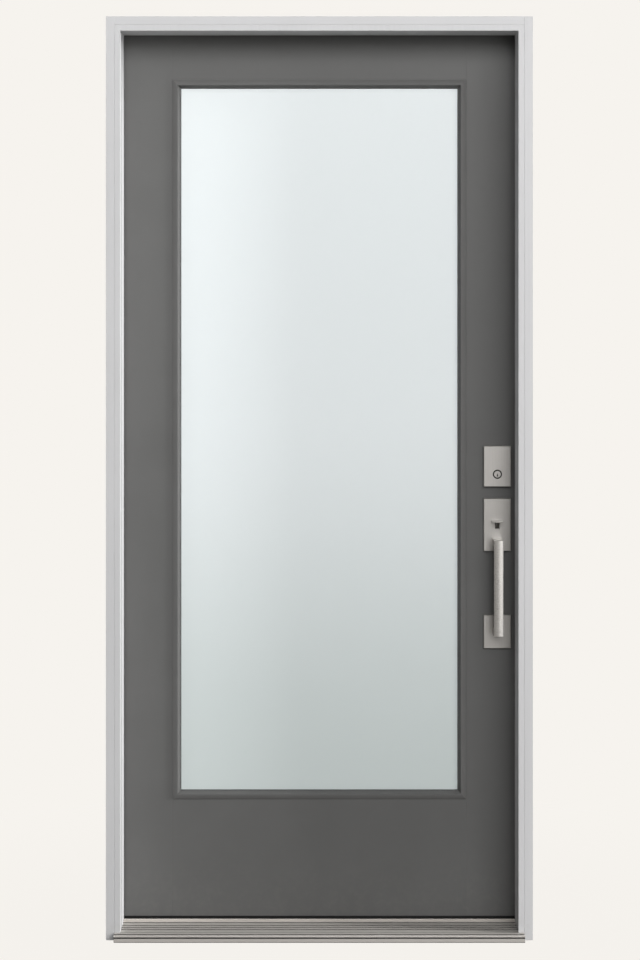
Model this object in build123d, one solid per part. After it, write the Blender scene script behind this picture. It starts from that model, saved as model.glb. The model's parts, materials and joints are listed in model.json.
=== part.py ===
from build123d import *
import os
from math import cos, radians, sin, tan

# A prehung inswing entry door with one full-height lite, seen from outside along +Y.
# X runs to the right, Y into the house, Z up. The origin is the middle of the flat underside
# of the sill, half way through the depth of the jambs. All sizes are in millimetres.

# Driving dimensions of the frame
FRAME_WIDTH = 952.5
FRAME_HEIGHT = 2061.0
JAMB_DEPTH = 166.7
JAMB_BASE = 19.05
STOP_THICKNESS = 12.7
RABBET_DEPTH = 50.8

# Driving dimensions of the slab
SLAB_THICKNESS = 44.45
SIDE_GAP = 5.0
HEAD_GAP = 5.0
SLAB_BOTTOM = 25.8
LOCK_BEVEL = 3.0
SKIN = 2.0
STILE_WIDTH = 45.0
TOP_RAIL = 45.0
BOTTOM_RAIL = 70.0

# Sill
SILL_CAP_TOP = 20.6
SILL_CAP_HEIGHT = 6.0
SILL_CAP_LEAD = 18.0
SILL_CAP_INSET = 7.0
SILL_CAP_ROUND = 1.5
SILL_LIP_RISE = 1.7
SILL_LIP_WIDTH = 5.0
DECK_AT_CAP = 16.6
DECK_AT_NOSE = 16.4
DECK_SHEET = 4.0
NOSE_REACH = 25.0
NOSE_GROOVE_LOW = 9.0
NOSE_GROOVE_HIGH = 12.4
NOSE_GROOVE_DEPTH = 4.5
NOSE_WALL = 8.0
NOSE_FOOT = 2.0
NOSE_ROUND = 2.0
RIB_GROOVE_WIDTH = 7.0
RIB_GROOVE_DEPTH = 2.2
RIB_PITCH = 18.65
RIB_COUNT = 3
RIB_FIRST = 30.65
CAP_GROOVE_SET = 8.0
NOSE_STEP = 15.0

# Lite, set by the widths of the stiles and rails that show round its moulding
STILE_FACE = 117.5
TOP_RAIL_FACE = 107.65
BOTTOM_RAIL_FACE = 265.5
MOULDING_WIDTH = 18.2
MOULDING_RISE = 5.5
MOULDING_EDGE = 0.8
BEVEL_WIDTH = 5.7
CREST_WIDTH = 1.2
SLOPE_CROWN = 0.55
CUTOUT_MARGIN = 14.6
LEG_WALL = 2.2
LEG_CLEARANCE = 0.4
GLASS_BITE = 11.0
PANE = 3.2
SPACER_WIDTH = 12.7
SPACER_BAND = 7.0
LIP_EDGE = 1.2
PANEL_LINE_WIDTH = 2.4
PANEL_LINE_DEPTH = 0.2
SEAM_WIDTH = 1.6
SEAM_DEPTH = 0.8

# Seals
SEAL_WIDTH = 8.4
SEAL_SET_BACK = 0.6
SEAL_ROUND = 2.5
SOFT_CLEARANCE = 0.3
SWEEP_STRIP = 2.2
SWEEP_INSET = 4.0
SWEEP_FIN = 3.0
SWEEP_FINS = 3

# Hinges
HINGE_HEIGHT = 101.6
HINGE_LEAF = 2.5
HINGE_LEAF_WIDTH = 38.0
HINGE_CORNER = 6.35
HINGE_FROM_TOP = 127.0
HINGE_FROM_BOTTOM = 254.0
KNUCKLE_RADIUS = 6.35
KNUCKLES = 5
KNUCKLE_GAP = 0.5
KNUCKLE_CLEARANCE = 0.5
PIN_SET_OUT = 8.0
PIN_RADIUS = 3.4
PIN_HEAD_RADIUS = 5.2
PIN_HEAD = 3.5
RUNNING_CLEARANCE = 0.05

# Handleset, set by the backset, the height of the latch and the rise to the deadbolt
BACKSET = 47.5
LATCH_HEIGHT = 891.7
DEADBOLT_RISE = 140.0
PLATE_WIDTH = 61.7
PLATE_BEVEL = 1.0
DEADBOLT_PLATE_HEIGHT = 92.4
DEADBOLT_PLATE_RISE = 18.0
DEADBOLT_PLATE_THICKNESS = 12.0
CYLINDER_RADIUS = 10.4
CYLINDER_BED = 0.6
RING_INNER_RADIUS = 7.6
RING_DEPTH = 5.0
PLUG_RADIUS = 6.6
PLUG_PROUD = 0.4
PLUG_BACK = 3.0
KEYWAY_TOP_WIDTH = 1.4
KEYWAY_FOOT_WIDTH = 3.2
KEYWAY_RISE = 1.6
KEYWAY_DROP = 5.4
KEYWAY_DEPTH = 6.0
UPPER_PLATE_HEIGHT = 119.7
UPPER_PLATE_DROP = 35.0
LOWER_PLATE_HEIGHT = 75.8
HANDLE_PLATE_THICKNESS = 9.0
GRIP_WIDTH = 20.3
GRIP_LENGTH = 217.5
GRIP_LAP_UPPER = 28.5
GRIP_LAP_LOWER = 43.8
GRIP_STAND_OFF = 56.0
GRIP_THICKNESS = 12.0
GRIP_CROWN = 1.6
GRIP_FOOT = 15.0
GRIP_BEVEL = 0.8
GRIP_INNER_ROUND = 8.0
THUMB_PIVOT_RISE = 22.3
THUMB_HUB_RADIUS = 4.2
THUMB_PIVOT_BACK = 4.6
THUMB_PIN_RADIUS = 1.5
THUMB_PIN_REACH = 3.0
THUMB_WEB = 8.0
THUMB_WIDTH = 24.5
THUMB_REACH = 28.0
THUMB_TOP_RISE = 12.5
THUMB_ROOT_GAP = 1.5
THUMB_THICKNESS = 4.2
THUMB_TIP_THICKNESS = 2.2
THUMB_DISH = 1.0
THUMB_CORNER = 1.0
SLOT_SIDE = 1.2
SLOT_LOW = 6.0
SLOT_HIGH = 9.7

# Inside hardware
THUMBTURN_DISC_RADIUS = 14.0
THUMBTURN_DISC = 4.0
THUMBTURN_NECK_RADIUS = 5.0
THUMBTURN_NECK = 4.0
THUMBTURN_LENGTH = 36.0
THUMBTURN_WIDTH = 10.0
THUMBTURN_DEPTH = 14.0
THUMBTURN_CORNER = 2.5
THUMBTURN_BEVEL = 1.5
LEVER_NECK_RADIUS = 10.0
LEVER_NECK = 40.0
LEVER_LENGTH = 112.0
LEVER_HEIGHT = 20.0
LEVER_THICKNESS = 12.0
LEVER_ROUND = 4.0
LEVER_BEVEL = 1.0
INNER_PLATE_THICKNESS = 8.0

# Edge hardware
FACEPLATE_THICKNESS = 2.4
FACEPLATE_WIDTH = 25.4
FACEPLATE_HEIGHT = 57.2
FACEPLATE_CORNER = 6.35
LATCH_BOLT_HEIGHT = 17.0
LATCH_BOLT_WIDTH = 12.7
DEADBOLT_BOLT_HEIGHT = 25.4
DEADBOLT_BOLT_WIDTH = 15.0
BOLT_LENGTH = 24.0
BOLT_ROUND = 1.5
BOLT_CLEARANCE = 0.3
STRIKE_THICKNESS = 2.0
STRIKE_WIDTH = 28.6
STRIKE_HEIGHT = 70.0
STRIKE_CORNER = 6.35
STRIKE_MARGIN = 3.0
STRIKE_POCKET = 14.0
STRIKE_LIP_OVER = 2.5
STRIKE_LIP_ROUND = 1.8

# Sizes worked out from the driving dimensions
half_frame = FRAME_WIDTH / 2
half_rabbet = half_frame - JAMB_BASE
half_daylight = half_rabbet - STOP_THICKNESS
inside_y = JAMB_DEPTH / 2
outside_y = -JAMB_DEPTH / 2
shoulder_y = inside_y - RABBET_DEPTH
rabbet_top = FRAME_HEIGHT - JAMB_BASE
daylight_top = rabbet_top - STOP_THICKNESS
half_slab = half_rabbet - SIDE_GAP
slab_top = rabbet_top - HEAD_GAP
face_y = inside_y - SLAB_THICKNESS
slab_mid_y = (inside_y + face_y) / 2
cap_front_y = face_y - SILL_CAP_LEAD
cap_back_y = inside_y - SILL_CAP_INSET
cap_bed = SILL_CAP_TOP - SILL_CAP_HEIGHT
nose_y = outside_y - NOSE_REACH
sight_half_width = half_slab - STILE_FACE - MOULDING_WIDTH
sight_low = SLAB_BOTTOM + BOTTOM_RAIL_FACE + MOULDING_WIDTH
sight_high = slab_top - TOP_RAIL_FACE - MOULDING_WIDTH
hardware_x = half_slab - BACKSET
deadbolt_z = LATCH_HEIGHT + DEADBOLT_RISE
deadbolt_plate_low = deadbolt_z + DEADBOLT_PLATE_RISE - DEADBOLT_PLATE_HEIGHT / 2
deadbolt_plate_high = deadbolt_plate_low + DEADBOLT_PLATE_HEIGHT
upper_plate_low = LATCH_HEIGHT - UPPER_PLATE_DROP
upper_plate_high = upper_plate_low + UPPER_PLATE_HEIGHT
grip_high = upper_plate_low + GRIP_LAP_UPPER
grip_low = grip_high - GRIP_LENGTH
lower_plate_high = grip_low + GRIP_LAP_LOWER
lower_plate_low = lower_plate_high - LOWER_PLATE_HEIGHT
thumb_pivot_z = LATCH_HEIGHT + THUMB_PIVOT_RISE
thumb_pivot_y = face_y - THUMB_PIVOT_BACK
thumb_top = thumb_pivot_z + THUMB_TOP_RISE
cylinder_face_y = face_y - DEADBOLT_PLATE_THICKNESS
core_low_y = face_y + SKIN
core_high_y = inside_y - SKIN
pin_x = -half_rabbet + SIDE_GAP / 2
pin_y = inside_y + PIN_SET_OUT
glass_unit = 2 * PANE + SPACER_WIDTH
hinge_centres = {
    "upper": slab_top - HINGE_FROM_TOP - HINGE_HEIGHT / 2,
    "lower": SLAB_BOTTOM + HINGE_FROM_BOTTOM + HINGE_HEIGHT / 2,
}
hinge_centres["middle"] = (hinge_centres["upper"] + hinge_centres["lower"]) / 2


def block(x0, x1, y0, y1, z0, z1):
    """A box between two corners."""
    middle = Pos((x0 + x1) / 2, (y0 + y1) / 2, (z0 + z1) / 2)
    return middle * Box(abs(x1 - x0), abs(y1 - y0), abs(z1 - z0))


def polygon_along_x(points, x0, x1):
    """A straight-sided (y, z) section, extruded from x0 to x1."""
    face = make_face(Polyline(*[(x0, y, z) for y, z in points], close=True))
    return extrude(face, amount=x1 - x0, dir=(1, 0, 0))


def polygon_up(points, z0, z1):
    """A straight-sided (x, y) section, extruded from z0 to z1."""
    face = make_face(Polyline(*[(x, y, z0) for x, y in points], close=True))
    return extrude(face, amount=z1 - z0, dir=(0, 0, 1))


def rod_y(x, z, radius, y0, y1):
    """A round bar along Y."""
    return Pos(x, (y0 + y1) / 2, z) * Rot(90, 0, 0) * Cylinder(radius, abs(y1 - y0))


def rod_z(x, y, radius, z0, z1):
    """A round bar along Z."""
    return Pos(x, y, (z0 + z1) / 2) * Cylinder(radius, z1 - z0)


def lock_edge_x(y):
    """Where the bevelled lock edge of the slab lies at depth y."""
    return half_slab - (inside_y - y) * tan(radians(LOCK_BEVEL))


lock_edge = Plane(
    origin=(lock_edge_x(slab_mid_y), slab_mid_y, 0),
    x_dir=(0, 0, 1),
    z_dir=(cos(radians(LOCK_BEVEL)), -sin(radians(LOCK_BEVEL)), 0),
)
strike_face = Plane(origin=(half_rabbet, slab_mid_y, 0), x_dir=(0, 0, 1), z_dir=(-1, 0, 0))


def deck_top(y):
    """Height of the sloping sill deck at depth y."""
    run = (y - nose_y) / (cap_front_y - nose_y)
    return DECK_AT_NOSE + run * (DECK_AT_CAP - DECK_AT_NOSE)


# Edge plates and bolts


def plate_on(plane, z, height, width, corner, thickness):
    """A round-cornered plate let in flush with a plane's surface."""
    outline = RectangleRounded(height, width, corner)
    return plane * Pos(z, 0, -thickness) * extrude(outline, thickness)


def pocket_on(plane, z, height, width, depth):
    """A square-cornered block from a plane's surface to a depth behind it."""
    return plane * Pos(z, 0, -depth / 2) * Box(height, width, depth)


def faceplate(z, height, width):
    """The plate on the lock edge, with the bolt's hole."""
    plate = plate_on(
        lock_edge, z, FACEPLATE_HEIGHT, FACEPLATE_WIDTH, FACEPLATE_CORNER, FACEPLATE_THICKNESS
    )
    return plate - bolt_room(z, height, width)


def bolt_room(z, height, width):
    """The hole that a bolt slides in, with clearance all round and behind."""
    depth = BOLT_LENGTH + BOLT_CLEARANCE
    return pocket_on(lock_edge, z, height + 2 * BOLT_CLEARANCE, width + 2 * BOLT_CLEARANCE, depth)


def bolt(z, height, width):
    """A bolt drawn in until its end is flush with the lock edge."""
    body = pocket_on(lock_edge, z, height, width, BOLT_LENGTH)
    return fillet(body.edges().filter_by(Axis((0, 0, 0), lock_edge.z_dir)), BOLT_ROUND)


def strike_plate(z, height, width):
    """The plate in the jamb that a bolt enters, with its hole."""
    plate = plate_on(
        strike_face, z, STRIKE_HEIGHT, STRIKE_WIDTH, STRIKE_CORNER, STRIKE_THICKNESS
    )
    return plate - strike_room(z, height, width)


def strike_room(z, height, width):
    """The hole in a strike plate and the pocket behind it."""
    return pocket_on(
        strike_face, z, height + 2 * STRIKE_MARGIN, width + 2 * STRIKE_MARGIN, STRIKE_POCKET
    )


bolts = {
    "latch": (LATCH_HEIGHT, LATCH_BOLT_HEIGHT, LATCH_BOLT_WIDTH),
    "deadbolt": (deadbolt_z, DEADBOLT_BOLT_HEIGHT, DEADBOLT_BOLT_WIDTH),
}


def strike_lip():
    """The tongue of the latch strike, out past the inside edge of the jamb and bent clear."""
    lip_y = inside_y + STRIKE_LIP_OVER
    flat = block(
        half_rabbet, half_rabbet + STRIKE_THICKNESS, slab_mid_y, lip_y,
        LATCH_HEIGHT - LATCH_BOLT_HEIGHT, LATCH_HEIGHT + LATCH_BOLT_HEIGHT,
    )
    corner = flat.edges().filter_by(Axis.Z).sort_by(lambda e: e.center().Y - e.center().X)[-1]
    return fillet(corner, STRIKE_LIP_ROUND)


def latch_strike_plate():
    z, height, width = bolts["latch"]
    return strike_plate(z, height, width) + (strike_lip() - strike_room(z, height, width))


# Hinges


def leaf_plate(z, x0, x1, y_end):
    """The flat of a hinge leaf, round-cornered at its far end; it also cuts its own mortise."""
    flat = block(x0, x1, y_end, pin_y, z - HINGE_HEIGHT / 2, z + HINGE_HEIGHT / 2)
    far = flat.edges().filter_by(Axis.X).sort_by(Axis.Y)[:2]
    return fillet(far, HINGE_CORNER)


def knuckle_span(z, index):
    """Low and high end of one knuckle of a hinge, with the gap to its neighbours."""
    pitch = HINGE_HEIGHT / KNUCKLES
    low = z - HINGE_HEIGHT / 2 + index * pitch
    gap_below = 0 if index == 0 else KNUCKLE_GAP / 2
    gap_above = 0 if index == KNUCKLES - 1 else KNUCKLE_GAP / 2
    return low + gap_below, low + pitch - gap_above


def hinge_leaf(z, x0, x1, y_end, first):
    """A leaf with every second knuckle rolled on it, notched for the other leaf's knuckles."""
    leaf = leaf_plate(z, x0, x1, y_end)
    notch_y = pin_y - KNUCKLE_RADIUS - KNUCKLE_CLEARANCE
    for index in range(KNUCKLES):
        low, high = knuckle_span(z, index)
        if index % 2 == first:
            leaf += rod_z(pin_x, pin_y, KNUCKLE_RADIUS, low, high)
        else:
            leaf -= block(x0, x1, notch_y, pin_y, low - KNUCKLE_GAP, high + KNUCKLE_GAP)
    bore = PIN_RADIUS + RUNNING_CLEARANCE
    return leaf - rod_z(pin_x, pin_y, bore, z - HINGE_HEIGHT, z + HINGE_HEIGHT)


leaf_end_y = inside_y - HINGE_LEAF_WIDTH


def frame_leaf(z):
    return hinge_leaf(z, -half_rabbet - HINGE_LEAF, -half_rabbet, leaf_end_y, 0)


def door_leaf(z):
    return hinge_leaf(z, -half_slab, -half_slab + HINGE_LEAF, leaf_end_y, 1)


def hinge_pin(z):
    """A pin with a round head that rests on the top knuckle and a shorter tip below."""
    top = z + HINGE_HEIGHT / 2
    low = z - HINGE_HEIGHT / 2
    head = rod_z(pin_x, pin_y, PIN_HEAD_RADIUS, top, top + PIN_HEAD)
    return rod_z(pin_x, pin_y, PIN_RADIUS, low - PIN_HEAD / 2, top) + head


# Fixed frame


def side_stop(side):
    """A stop up a side jamb, coped over the sill cap and deck and ended under the head's stop."""
    above = SOFT_CLEARANCE
    cope_y = cap_front_y - above
    stop_section = [
        (outside_y, deck_top(outside_y) + above),
        (cope_y, deck_top(cope_y) + above),
        (cope_y, SILL_CAP_TOP + above),
        (shoulder_y, SILL_CAP_TOP + above),
        (shoulder_y, daylight_top),
        (outside_y, daylight_top),
    ]
    x0, x1 = sorted((side * half_rabbet, side * half_daylight))
    return polygon_along_x(stop_section, x0, x1) - seam_up(side * half_rabbet)


def head_stop():
    """The stop across the head jamb."""
    stop = block(-half_rabbet, half_rabbet, outside_y, shoulder_y, daylight_top, rabbet_top)
    return stop - seam_along_x(rabbet_top)


def seam_along_x(z):
    """The V line along the front of the head between jamb and stop."""
    half = SEAM_WIDTH / 2
    section = [(outside_y, z - half), (outside_y + SEAM_DEPTH, z), (outside_y, z + half)]
    return polygon_along_x(section, -half_rabbet, half_rabbet)


def seam_up(x):
    """The V line up the front of a side between jamb and stop."""
    half = SEAM_WIDTH / 2
    section = [(x - half, outside_y), (x, outside_y + SEAM_DEPTH), (x + half, outside_y)]
    return polygon_up(section, 0, FRAME_HEIGHT)


def side_jamb(side):
    """The board up one side of the frame."""
    board = block(side * half_frame, side * half_rabbet, outside_y, inside_y, 0, FRAME_HEIGHT)
    return board - seam_up(side * half_rabbet)


def hinge_jamb():
    jamb = side_jamb(-1)
    for z in hinge_centres.values():
        jamb -= leaf_plate(z, -half_rabbet - HINGE_LEAF, -half_rabbet, leaf_end_y)
    return jamb


def strike_jamb():
    jamb = side_jamb(1)
    for z, height, width in bolts.values():
        jamb -= plate_on(
            strike_face, z, STRIKE_HEIGHT, STRIKE_WIDTH, STRIKE_CORNER, STRIKE_THICKNESS
        )
        jamb -= strike_room(z, height, width)
    return jamb - strike_lip()


def head_jamb():
    """The head, a plain board between the side jambs."""
    board = block(-half_rabbet, half_rabbet, outside_y, inside_y, rabbet_top, FRAME_HEIGHT)
    return board - seam_along_x(rabbet_top)


def sill_substrate():
    """The block under the deck and the cap."""
    back = cap_front_y
    section = [
        (nose_y + NOSE_WALL, 0),
        (inside_y, 0),
        (inside_y, cap_bed),
        (back, cap_bed),
        (back, deck_top(back) - DECK_SHEET),
        (nose_y + NOSE_WALL, deck_top(nose_y + NOSE_WALL) - DECK_SHEET),
    ]
    return polygon_along_x(section, -half_rabbet, half_rabbet)


def sill_deck():
    """The ribbed metal deck with a grooved nosing that drops to the floor in front."""
    section = [
        (nose_y, NOSE_FOOT),
        (nose_y + NOSE_FOOT, 0),
        (nose_y + NOSE_WALL, 0),
        (nose_y + NOSE_WALL, deck_top(nose_y + NOSE_WALL) - DECK_SHEET),
        (cap_front_y, deck_top(cap_front_y) - DECK_SHEET),
        (cap_front_y, deck_top(cap_front_y)),
        (nose_y, deck_top(nose_y)),
        (nose_y, NOSE_GROOVE_HIGH),
        (nose_y + NOSE_GROOVE_DEPTH, NOSE_GROOVE_HIGH),
        (nose_y + NOSE_GROOVE_DEPTH, NOSE_GROOVE_LOW),
        (nose_y, NOSE_GROOVE_LOW),
    ]
    deck = polygon_along_x(section, -half_rabbet, half_rabbet)
    nose = deck.edges().filter_by(Axis.X).sort_by(lambda e: e.center().Z - e.center().Y)[-1]
    deck = fillet(nose, NOSE_ROUND)
    centres = [outside_y + RIB_FIRST + index * RIB_PITCH for index in range(RIB_COUNT)]
    centres += [outside_y - NOSE_STEP, cap_front_y - CAP_GROOVE_SET]
    for centre in centres:
        floor = deck_top(centre) - RIB_GROOVE_DEPTH
        deck -= block(
            -half_rabbet, half_rabbet,
            centre - RIB_GROOVE_WIDTH / 2, centre + RIB_GROOVE_WIDTH / 2,
            floor, floor + DECK_SHEET,
        )
    return deck


def sill_cap():
    """The adjustable cap that the slab's sweep runs over, with a lip in front between the stops."""
    cap = block(
        -half_rabbet, half_rabbet, cap_front_y, cap_back_y, cap_bed, SILL_CAP_TOP
    )
    reach = half_daylight - SOFT_CLEARANCE
    lip = block(
        -reach, reach, cap_front_y, cap_front_y + SILL_LIP_WIDTH, SILL_CAP_TOP,
        SILL_CAP_TOP + SILL_LIP_RISE,
    )
    front = lip.edges().filter_by(Axis.X).sort_by(lambda e: e.center().Z - e.center().Y)[-1]
    return Compound([cap, fillet(front, SILL_CAP_ROUND)])


def seal_section(offset):
    """The seal's section from the stop's inner corner: across the stop, and towards the slab."""
    reach = face_y - SOFT_CLEARANCE - shoulder_y
    near = offset + SEAL_SET_BACK
    far = near + SEAL_WIDTH
    return near, far, shoulder_y, shoulder_y + reach


def side_seal(side):
    near, far, y0, y1 = seal_section(half_daylight)
    strip = block(
        side * near, side * far, y0, y1, SILL_CAP_TOP + SOFT_CLEARANCE, daylight_top - SEAL_SET_BACK
    )
    near_edge = strip.edges().filter_by(Axis.Z).sort_by(lambda e: e.center().Y - abs(e.center().X))
    return fillet(near_edge[-1], SEAL_ROUND)


def head_seal():
    near, far, y0, y1 = seal_section(daylight_top)
    reach = half_rabbet
    strip = block(-reach, reach, y0, y1, near, far)
    near_edge = strip.edges().filter_by(Axis.X).sort_by(lambda e: e.center().Y - e.center().Z)
    return fillet(near_edge[-1], SEAL_ROUND)


# Slab


def slab_layer(y0, y1, z0, z1):
    """A layer of the slab across its full width, bevelled at the lock edge."""
    plan = [
        (-half_slab, y0),
        (lock_edge_x(y0), y0),
        (lock_edge_x(y1), y1),
        (-half_slab, y1),
    ]
    return polygon_up(plan, z0, z1)


def panel_lines(side):
    """V grooves where the stiles meet the rails, above and below the lite's moulding."""
    surface = slab_mid_y + side * SLAB_THICKNESS / 2
    floor = surface - side * PANEL_LINE_DEPTH
    grooves = []
    for x in (-sight_half_width - MOULDING_WIDTH, sight_half_width + MOULDING_WIDTH):
        section = [
            (x - PANEL_LINE_WIDTH / 2, surface),
            (x, floor),
            (x + PANEL_LINE_WIDTH / 2, surface),
        ]
        grooves.append(polygon_up(section, SLAB_BOTTOM, slab_top))
    return grooves


def skin(side):
    """One face of the slab, cut out for the lite and grooved along the stiles."""
    outer = slab_mid_y + side * SLAB_THICKNESS / 2
    inner = outer - side * SKIN
    y0, y1 = sorted((outer, inner))
    sheet = slab_layer(y0, y1, SLAB_BOTTOM, slab_top)
    half = sight_half_width + CUTOUT_MARGIN
    sheet -= block(
        -half, half, y0 - SKIN, y1 + SKIN, sight_low - CUTOUT_MARGIN, sight_high + CUTOUT_MARGIN
    )
    for groove in panel_lines(side):
        sheet -= groove
    return sheet


def interior_skin():
    sheet = skin(1)
    for z in hinge_centres.values():
        sheet -= leaf_plate(z, -half_slab, -half_slab + HINGE_LEAF, leaf_end_y)
    return sheet


def hinge_stile():
    stile = block(
        -half_slab, -half_slab + STILE_WIDTH, core_low_y, core_high_y, SLAB_BOTTOM, slab_top
    )
    for z in hinge_centres.values():
        stile -= leaf_plate(z, -half_slab, -half_slab + HINGE_LEAF, leaf_end_y)
    return stile


def lock_stile():
    stile = slab_layer(core_low_y, core_high_y, SLAB_BOTTOM, slab_top)
    stile -= block(
        -half_frame, half_slab - STILE_WIDTH, core_low_y, core_high_y, SLAB_BOTTOM, slab_top
    )
    for z, height, width in bolts.values():
        stile -= plate_on(
            lock_edge, z, FACEPLATE_HEIGHT, FACEPLATE_WIDTH, FACEPLATE_CORNER, FACEPLATE_THICKNESS
        )
        stile -= bolt_room(z, height, width)
    return stile


def rail(z0, z1):
    reach = half_slab - STILE_WIDTH
    return block(-reach, reach, core_low_y, core_high_y, z0, z1)


def door_sweep():
    """A strip under the slab with fins that brush the sill cap."""
    tip = SILL_CAP_TOP + SOFT_CLEARANCE
    y0 = face_y + SWEEP_INSET
    y1 = inside_y - SWEEP_INSET
    reach = half_slab - SWEEP_INSET
    sweep = block(-reach, reach, y0, y1, SLAB_BOTTOM - SWEEP_STRIP, SLAB_BOTTOM)
    pitch = (y1 - y0 - SWEEP_FIN) / (SWEEP_FINS - 1)
    for index in range(SWEEP_FINS):
        low = y0 + index * pitch
        sweep += block(-reach, reach, low, low + SWEEP_FIN, tip, SLAB_BOTTOM - SWEEP_STRIP)
    return sweep


# Lite


def mitred(side, corners):
    """The part of a straight side that lies between its two mitre cuts, corners given as x, z."""
    depth = SLAB_THICKNESS
    points = [(x, slab_mid_y - depth, z) for x, z in corners]
    cutter = make_face(Polyline(*points, close=True))
    return side & extrude(cutter, amount=2 * depth, dir=(0, 1, 0))


def ring(section):
    """A section at the middle of the bottom side, carried round the sight opening and mitred."""
    half = sight_half_width
    low = sight_low
    high = sight_high
    out = MOULDING_WIDTH
    middle_z = (low + high) / 2
    sill_side = extrude(section, amount=half + out, dir=(1, 0, 0), both=True)
    foot = mitred(sill_side, [(-half, low), (half, low), (half + out, low - out), (-half - out, low - out)])
    upright_section = section.rotate(Axis((0, 0, low), (0, 1, 0)), -90)
    upright_section = upright_section.moved(Location((half, 0, middle_z - low)))
    upright = extrude(upright_section, amount=high - middle_z + out, dir=(0, 0, 1), both=True)
    right = mitred(upright, [(half, low), (half, high), (half + out, high + out), (half + out, low - out)])
    left = mirror(right, about=Plane.YZ)
    top = mirror(foot, about=Plane.XY.offset(middle_z))
    return foot + right + left + top


def lite_frame(side):
    """Half of the lite's frame: a crowned moulding, a bevel to the glass and a clamping leg."""

    def point(outward, depth):
        return (0, slab_mid_y + side * depth, sight_low - outward)

    surface = SLAB_THICKNESS / 2
    crest = surface + MOULDING_RISE
    glass = glass_unit / 2
    leg_out = CUTOUT_MARGIN - LEG_CLEARANCE
    leg_in = leg_out - LEG_WALL
    crest_out = BEVEL_WIDTH + CREST_WIDTH
    slope_run = MOULDING_WIDTH - crest_out
    slope = ThreePointArc(
        point(MOULDING_WIDTH, surface + MOULDING_EDGE),
        point(
            crest_out + slope_run * SLOPE_CROWN,
            surface + MOULDING_EDGE + MOULDING_RISE * SLOPE_CROWN,
        ),
        point(crest_out, crest),
    )
    rest = Polyline(
        point(crest_out, crest),
        point(BEVEL_WIDTH, crest),
        point(0, glass + LIP_EDGE),
        point(0, glass),
        point(leg_in, glass),
        point(leg_in, 0),
        point(leg_out, 0),
        point(leg_out, surface),
        point(MOULDING_WIDTH, surface),
        point(MOULDING_WIDTH, surface + MOULDING_EDGE),
    )
    return ring(make_face([slope, rest]))


def pane(side):
    """A sheet of glass that reaches behind the lite frame's lip."""
    outer = slab_mid_y + side * glass_unit / 2
    inner = outer - side * PANE
    half = sight_half_width + GLASS_BITE
    return block(-half, half, outer, inner, sight_low - GLASS_BITE, sight_high + GLASS_BITE)


def glass_spacer():
    """The spacer between the two panes, just outside the sight line."""
    y0 = slab_mid_y - SPACER_WIDTH / 2
    y1 = slab_mid_y + SPACER_WIDTH / 2
    outer = GLASS_BITE
    inner = GLASS_BITE - SPACER_BAND
    half = sight_half_width
    body = block(-half - outer, half + outer, y0, y1, sight_low - outer, sight_high + outer)
    return body - block(
        -half - inner, half + inner, y0, y1, sight_low - inner, sight_high + inner
    )


# Handleset outside


def wall_plate(side, z0, z1, thickness):
    """A rectangular plate on the slab's face, bevelled round its front."""
    surface = slab_mid_y + side * SLAB_THICKNESS / 2
    half = PLATE_WIDTH / 2
    plate = block(hardware_x - half, hardware_x + half, surface, surface + side * thickness, z0, z1)
    front = plate.faces().sort_by(Axis.Y)[0 if side < 0 else -1]
    return chamfer(front.edges(), PLATE_BEVEL)


def deadbolt_plate():
    plate = wall_plate(-1, deadbolt_plate_low, deadbolt_plate_high, DEADBOLT_PLATE_THICKNESS)
    bore = CYLINDER_RADIUS + RUNNING_CLEARANCE
    through = cylinder_face_y - DEADBOLT_PLATE_THICKNESS
    return plate - rod_y(hardware_x, deadbolt_z, bore, through, face_y)


def deadbolt_cylinder():
    """The lock cylinder: a sunk ring round the plug's collar, bored for the plug."""
    sunk = cylinder_face_y + RING_DEPTH
    bore = PLUG_RADIUS + RUNNING_CLEARANCE
    plug_end = face_y - PLUG_BACK + CYLINDER_BED
    section = [
        (bore, cylinder_face_y),
        (RING_INNER_RADIUS, cylinder_face_y),
        (RING_INNER_RADIUS, sunk),
        (CYLINDER_RADIUS, sunk),
        (CYLINDER_RADIUS, face_y),
        (0, face_y),
        (0, plug_end),
        (bore, plug_end),
    ]
    points = [(hardware_x + r, y, deadbolt_z) for r, y in section]
    face = make_face(Polyline(*points, close=True))
    return revolve(face, axis=Axis((hardware_x, 0, deadbolt_z), (0, 1, 0)))


def key_plug():
    """The turning plug with its keyway."""
    front = cylinder_face_y - PLUG_PROUD
    plug = rod_y(hardware_x, deadbolt_z, PLUG_RADIUS, front, face_y - PLUG_BACK)
    high = deadbolt_z + KEYWAY_RISE
    low = deadbolt_z - KEYWAY_DROP
    corners = [
        (hardware_x - KEYWAY_TOP_WIDTH / 2, front, high),
        (hardware_x + KEYWAY_TOP_WIDTH / 2, front, high),
        (hardware_x + KEYWAY_FOOT_WIDTH / 2, front, low),
        (hardware_x - KEYWAY_FOOT_WIDTH / 2, front, low),
    ]
    keyway = make_face(Polyline(*corners, close=True))
    return plug - extrude(keyway, amount=KEYWAY_DEPTH, dir=(0, 1, 0))


def thumb_pin(radius, reach):
    """The cross pin that the thumb piece rocks on, out to reach beyond its web."""
    half = THUMB_WEB / 2 + reach
    return Pos(hardware_x, thumb_pivot_y, thumb_pivot_z) * Rot(0, 90, 0) * Cylinder(radius, 2 * half)


def upper_handle_plate():
    plate = wall_plate(-1, upper_plate_low, upper_plate_high, HANDLE_PLATE_THICKNESS)
    half = THUMB_WEB / 2 + SLOT_SIDE
    plate -= block(
        hardware_x - half, hardware_x + half, face_y - 2 * HANDLE_PLATE_THICKNESS, face_y,
        thumb_pivot_z - SLOT_LOW, thumb_pivot_z + SLOT_HIGH,
    )
    return plate - thumb_pin(THUMB_PIN_RADIUS + RUNNING_CLEARANCE, THUMB_PIN_REACH + SLOT_SIDE)


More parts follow.
